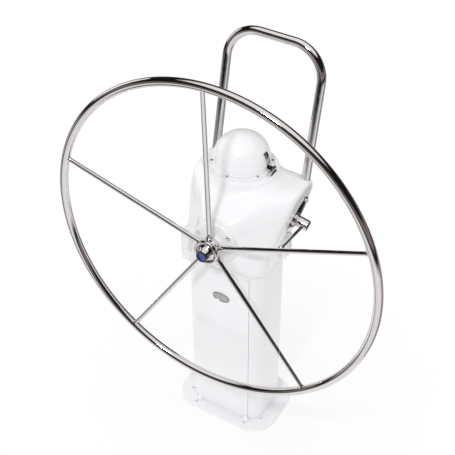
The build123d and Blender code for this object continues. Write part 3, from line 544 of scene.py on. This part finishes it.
class HELM_OT_rim(bpy.types.Operator):
    """Make the wheel's rim, a round tube along centre + radius (cos t right + sin t up)"""
    bl_idname = "helm.rim"
    bl_label = "Wheel rim"

    def execute(self, context):
        sizes = context.scene.helm_wheel
        t = np.linspace(0, 2 * np.pi, 360, endpoint=False)[:, None]
        path = WHEEL_CENTRE + sizes.rim_radius * (np.cos(t) * RIGHT + np.sin(t) * WHEEL_UP)
        ring = piped(path, SHAFT_AXIS, sizes.tube_radius, 40, True)
        build("rim_tube", [ring], polished_stainless, "wheel", ["wheel_rim"])
        return {"FINISHED"}


class HELM_OT_spokes(bpy.types.Operator):
    """Make the five tapered spokes, with a small weld flare where each meets the rim"""
    bl_idname = "helm.spokes"
    bl_label = "Wheel spokes"

    def execute(self, context):
        sizes = context.scene.helm_wheel
        start, end = 0.024, sizes.rim_radius - sizes.tube_radius * 0.7
        along = np.array([start, start + 0.004, 0.12, 0.25, 0.38, end - 0.012, end - 0.007,
                          end - 0.004, end - 0.002, end])
        flare = np.array([0, 0, 0, 0, 0, 0, 0.0003, 0.0009, 0.0018, 0.003])
        radius = np.interp(along, [start, end], [sizes.spoke_hub, sizes.spoke_rim]) + flare
        profile = np.stack([radius, along], -1)
        parts = [turned(profile, 32, WHEEL_CENTRE, np.cos(a) * RIGHT + np.sin(a) * WHEEL_UP,
                        SHAFT_AXIS) for a in SPOKE_ANGLES]
        build("spoke_rods", parts, polished_stainless, "wheel", ["wheel_spokes"])
        return {"FINISHED"}


class HELM_OT_hub(bpy.types.Operator):
    """Make the turned hub, its nose, the dark ring and the blue end disc"""
    bl_idname = "helm.hub"
    bl_label = "Wheel hub"

    def execute(self, context):
        hub = shaft_turned([
            (12.1, 11), (27.5, 11), (29.2, 10.3), (30, 8.6), (30, -10.5), (31, -12.2),
            (33.5, -14), (35.8, -15.6), (36.8, -18), (37, -20), (37, -24.4), (36.3, -26.6),
            (34.6, -27.8), (32.6, -28), (31.2, -27.6), (30.5, -26.4), (30.3, -24.5),
            (30.3, -21), (12.1, -21)])
        nose = shaft_turned([
            (0.01, -21), (28.4, -21), (28.4, -24.2), (27.9, -25.2), (26.4, -26.6),
            (23.6, -29.2), (21.2, -32.4), (19.4, -36), (18.2, -39.6), (17.6, -43),
            (17.3, -44), (0.01, -44)])
        ring = shaft_turned([
            (0.01, -43.5), (16.4, -43.5), (16.7, -44.4), (16.7, -46.6), (16.2, -47.6),
            (15.2, -48), (14.2, -47.8), (13.7, -47.2), (13.6, -46), (0.01, -46)])
        s = np.linspace(1, 0.001, 10)
        face = np.stack([13.5 * s, -46.2 - 1.1 * (1 - s ** 2)], -1)
        disc = shaft_turned(np.concatenate([[(0.01, -45.2), (13.5, -45.2)], face]), 72)
        build("hub_body", [hub], polished_stainless, "wheel", ["wheel_hub"])
        build("hub_cone", [nose], polished_stainless, "wheel", ["hub_nose"])
        build("hub_ring", [ring], black_acetal, "wheel", None)
        build("end_disc", [disc], blue_enamel, "wheel", ["hub_disc"])
        return {"FINISHED"}


class HELM_OT_flange(bpy.types.Operator):
    """Make the shaft flange: a thin round plate with a filleted boss in front"""
    bl_idname = "helm.flange"
    bl_label = "Shaft flange"

    def execute(self, context):
        a = np.radians(np.linspace(0, 90, 9))
        foot = np.stack([33.0 - 6.0 * np.sin(a), 23.0 - 6.0 * (1 - np.cos(a))], -1)
        rim = np.stack([63.2 + 1.8 * np.sin(a), 24.8 - 1.8 * np.cos(a)], -1)[::-1]
        profile = np.concatenate([
            [(13.5, 86), (31, 86), (31, 27), (65, 27)], rim, foot,
            [(27, 14.0), (26.4, 12.9), (25.2, 12.5), (13.5, 12.5)]])
        plate = lathe_ring(profile * MM, 128, WHEEL_CENTRE, SHAFT_AXIS, RIGHT)
        build("flange_plate", [plate], white_enamel, "pedestal", ["shaft_flange"])
        return {"FINISHED"}


class HELM_OT_badge(bpy.types.Operator):
    """Make the bare oval plate on the panel, crowned inside a raised rim: at share r of the
    half axes and angle t it lies at (a r cos t, face - h(r), middle + b r sin t)"""
    bl_idname = "helm.badge"
    bl_label = "Oval plate"

    def execute(self, context):
        half_x, half_z, face_y, middle_z = 28.5, 16.5, -86.0, 528.0
        share, height = np.array([
            (1.0, 0.0), (1.0, 1.9), (0.985, 2.6), (0.955, 3.0), (0.92, 2.9), (0.89, 2.4),
            (0.87, 1.9), (0.85, 1.8), (0.6, 2.3), (0.3, 2.65), (0.001, 2.75)]).T[:, :, None]
        t = np.linspace(0, 2 * np.pi, 96, endpoint=False)
        points = np.stack([half_x * share * np.cos(t), face_y - height + 0 * t,
                           middle_z + half_z * share * np.sin(t)], -1).reshape(-1, 3) * MM
        plate = closed_skin(points, len(share), len(t))
        build("oval_plate", [plate], satin_stainless, "pedestal", ["panel_badge"])
        return {"FINISHED"}


class HELM_OT_rail(bpy.types.Operator):
    """Make the guard rail, a tube with two bends that leans away from the helmsman"""
    bl_idname = "helm.rail"
    bl_label = "Guard rail"

    def execute(self, context):
        sizes = context.scene.helm_rail
        lean, sunk = np.radians(12.5), 0.034
        foot = np.array([0.0, 0.140, 0.880])
        up = np.array([0.0, np.sin(lean), np.cos(lean)])
        half, top, bend = sizes.half_width, sizes.height, sizes.corner
        a = np.linspace(0, np.pi / 2, 28)
        leg = np.linspace(-sunk, top - bend, 30)[:-1]
        x = np.concatenate([np.full(len(leg), -half), -half + bend * (1 - np.cos(a))])
        y = np.concatenate([leg, top - bend + bend * np.sin(a)])
        x, y = np.concatenate([x, -x[::-1]]), np.concatenate([y, y[::-1]])
        path = foot + x[:, None] * RIGHT + y[:, None] * up
        tube = piped(path, np.cross(RIGHT, up), sizes.tube_radius, 40, False)
        build("rail_tube", [tube], polished_stainless, "pedestal", ["guard_rail"])
        return {"FINISHED"}


class HELM_OT_lever(bpy.types.Operator):
    """Give the engine lever and its ball their finishes"""
    bl_idname = "helm.lever"
    bl_label = "Engine lever"

    def execute(self, context):
        for name in ("control_lever", "control_ball"):
            dress(name, polished_stainless)
        return {"FINISHED"}


class HELM_OT_cad_finishes(bpy.types.Operator):
    """Give the other CAD nodes that stay in view their finishes and smooth shading"""
    bl_idname = "helm.cad_finishes"
    bl_label = "CAD node finishes"

    def execute(self, context):
        for make, names in NODE_FINISH.items():
            for name in names:
                dress(name, make)
        return {"FINISHED"}


# Stage. Each stop is a position from 0 to 1, for a value from -1 to 1, and a colour. The first
# one stands at 0
SKY = ((0.0, "1E1817"), (0.44, "1E1817"), (0.48, "86807E"), (0.57, "746E6C"),
       (0.61, "1E1817"), (0.84, "161110"), (0.88, "E4E2E0"), (0.93, "FFFFFF"))
GROUND = ((0.0, "F2F0F0"), (0.18, "ECE9E9"), (0.22, "1A1414"), (0.27, "1A1414"),
          (0.32, "C4BFBF"), (0.50, "BAB4B4"), (0.55, "1E1817"), (0.62, "1E1817"),
          (0.68, "EAE7E7"), (1.0, "FFFFFF"))
VIEWER_SIDE = (0.5, -0.866, 0.0)
SKYLINE = (-0.34, -0.20)  # upward share of a direction, where the ground passes into the sky

# name, place in metres, diameter in metres and power in watts
LAMPS = (("key", (0.3, -2.4, 3.8), 0.5, 43.0), ("fill", (-2.6, 0.4, 1.6), 1.6, 6.0))
LAMP_AIM = Vector((0.0, 0.0, 0.7))


class HELM_OT_stage(bpy.types.Operator):
    """Make the pale floor, the soft light and the camera at the photograph's angle"""
    bl_idname = "helm.stage"
    bl_label = "Stage, light and camera"

    def execute(self, context):
        look = context.scene.helm_stage
        self.floor(context, look)
        self.world(context, look)
        self.lamps(context)
        self.camera(context)
        return {"FINISHED"}

    def floor(self, context, look):
        """A round matt floor that fades into the white background away from the object. It
        ends at 0.78 m, so that the tubes also mirror the darker studio beyond it."""
        r = np.array([0.0001, 0.3, 0.6, 0.78])[:, None]
        t = np.linspace(0, 2 * np.pi, 96, endpoint=False)
        points = np.stack([r * np.cos(t), r * np.sin(t), 0 * r * t], -1).reshape(-1, 3)
        mesh = bpy.data.meshes.new("floor")
        mesh.from_pydata(points.tolist(), [], grid_faces(len(r), len(t)).tolist())
        material, tree, place = blank_material("painted_floor")
        matt = add(tree, "ShaderNodeBsdfPrincipled", {
            "Base Color": tuple(look.floor), "Roughness": 0.9})
        white = add(tree, "ShaderNodeEmission", {"Color": linear("FFFFFF"), "Strength": 1.0})
        away = add(tree, "ShaderNodeVectorMath", {0: place}, operation="LENGTH")
        fade = add(tree, "ShaderNodeMapRange", {
            "Value": away, "From Min": 0.25, "From Max": 0.75, "To Min": 0.7, "To Max": 1.0})
        share = add(tree, "ShaderNodeMath", {0: self.seen_plainly(tree), 1: fade},
                    operation="MULTIPLY")
        mix = add(tree, "ShaderNodeMixShader", {0: share, 1: matt, 2: white})
        add(tree, "ShaderNodeOutputMaterial", {"Surface": mix})
        mesh.materials.append(material)
        floor = bpy.data.objects.new("floor", mesh)
        context.scene.collection.objects.link(floor)

    def world(self, context, look):
        """Even light all round, seen as white by the camera. Polished metal sees a studio that
        is white overhead and dark round the horizon, with a grey band in the dark. Below the
        horizon it is pale toward the viewer and straight behind the object, and dark with a
        grey band between, which gives the tubes their streaks."""
        world = bpy.data.worlds.new("studio")
        world.use_nodes = True
        tree = world.node_tree
        tree.nodes.clear()
        toward = add(tree, "ShaderNodeTexCoord").outputs["Generated"]
        height = add(tree, "ShaderNodeSeparateXYZ", {0: toward}).outputs["Z"]
        side = add(tree, "ShaderNodeVectorMath", {0: toward, 1: VIEWER_SIDE},
                   operation="DOT_PRODUCT")
        bands = []
        for value, stops in ((side, GROUND), (height, SKY)):
            share = add(tree, "ShaderNodeMapRange", {
                "Value": value, "From Min": -1.0, "From Max": 1.0})
            ramp = add(tree, "ShaderNodeValToRGB", {"Fac": share})
            elements = ramp.color_ramp.elements
            elements.remove(elements[1])
            elements[0].color = linear(stops[0][1])
            for position, colour in stops[1:]:
                elements.new(position).color = linear(colour)
            bands.append(ramp)
        low, high = SKYLINE
        sky = add(tree, "ShaderNodeMapRange", {"Value": height, "From Min": low, "From Max": high})
        studio = add(tree, "ShaderNodeMixRGB", {0: sky, 1: bands[0], 2: bands[1]})
        even, room, white = (
            add(tree, "ShaderNodeBackground", {"Color": colour, "Strength": strength})
            for colour, strength in ((linear("FFFFFF"), look.ambient), (studio, 1.0),
                                     (linear("FFFFFF"), 1.0)))
        glossy = add(tree, "ShaderNodeLightPath").outputs["Is Glossy Ray"]
        light = add(tree, "ShaderNodeMixShader", {0: glossy, 1: even, 2: room})
        mix = add(tree, "ShaderNodeMixShader", {0: self.seen_plainly(tree), 1: light, 2: white})
        add(tree, "ShaderNodeOutputWorld", {"Surface": mix})
        context.scene.world = world

    def seen_plainly(self, tree):
        """1 for rays that come from the camera or through glass, and 0 for all others."""
        path = add(tree, "ShaderNodeLightPath").outputs
        return add(tree, "ShaderNodeMath", {
            0: path["Is Camera Ray"], 1: path["Is Transmission Ray"]}, operation="MAXIMUM")

    def lamps(self, context):
        """A key from high in front of the helmsman's side, whose spoke shadows fall on the head
        as in the photograph, and a weak wide fill from the left."""
        for name, place, size, power in LAMPS:
            lamp = bpy.data.lights.new(name, "AREA")
            lamp.shape, lamp.size, lamp.energy = "DISK", size, power
            holder = bpy.data.objects.new(name, lamp)
            holder.location = place
            holder.rotation_euler = (LAMP_AIM - Vector(place)).to_track_quat("-Z", "Y").to_euler()
            context.scene.collection.objects.link(holder)

    def camera(self, context):
        """The view that fits the wheel's ellipse and the column's edges in the photograph. The
        image's right and up directions are given, and made square to each other."""
        lens = bpy.data.cameras.new("camera")
        lens.lens, lens.sensor_width = 80.70, 36.0
        lens.clip_start, lens.clip_end = 0.05, 50.0
        right = Vector((0.8610, 0.5087, -0.0063)).normalized()
        back = right.cross(Vector((-0.3351, 0.5762, 0.7455))).normalized()
        turn = Matrix((right, back.cross(right), back)).transposed().to_4x4()
        camera = bpy.data.objects.new("camera", lens)
        camera.matrix_world = Matrix.Translation((1.0958, -1.8777, 2.6793)) @ turn
        context.scene.collection.objects.link(camera)
        context.scene.camera = camera
        context.scene.view_settings.view_transform = "Standard"


GROUPS = {"helm_wheel": WheelSizes, "helm_rail": RailSizes, "helm_stage": StageLook}
OPERATORS = (HELM_OT_stage, HELM_OT_head, HELM_OT_cover, HELM_OT_rim, HELM_OT_spokes,
             HELM_OT_hub, HELM_OT_flange, HELM_OT_badge, HELM_OT_rail, HELM_OT_lever,
             HELM_OT_cad_finishes)


class HELM_PT_panel(bpy.types.Panel):
    """Lists the pedestal's sizes and pieces"""
    bl_idname = "HELM_PT_panel"
    bl_label = "Steering pedestal"
    bl_space_type = "VIEW_3D"
    bl_region_type = "UI"
    bl_category = "Helm"

    def draw(self, context):
        for group in GROUPS:
            owner = getattr(context.scene, group)
            for name in owner.__annotations__:
                self.layout.prop(owner, name)
        for operator in OPERATORS:
            self.layout.operator(operator.bl_idname)


def register():
    for group, kind in GROUPS.items():
        bpy.utils.register_class(kind)
        setattr(bpy.types.Scene, group, bpy.props.PointerProperty(type=kind))
    for operator in OPERATORS:
        bpy.utils.register_class(operator)
    bpy.utils.register_class(HELM_PT_panel)


def unregister():
    bpy.utils.unregister_class(HELM_PT_panel)
    for operator in reversed(OPERATORS):
        bpy.utils.unregister_class(operator)
    for group, kind in GROUPS.items():
        delattr(bpy.types.Scene, group)
        bpy.utils.unregister_class(kind)


def main():
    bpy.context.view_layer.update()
    register()
    for operator in OPERATORS:
        module, name = operator.bl_idname.split(".")
        getattr(getattr(bpy.ops, module), name)()


if __name__ == "__main__":
    main()
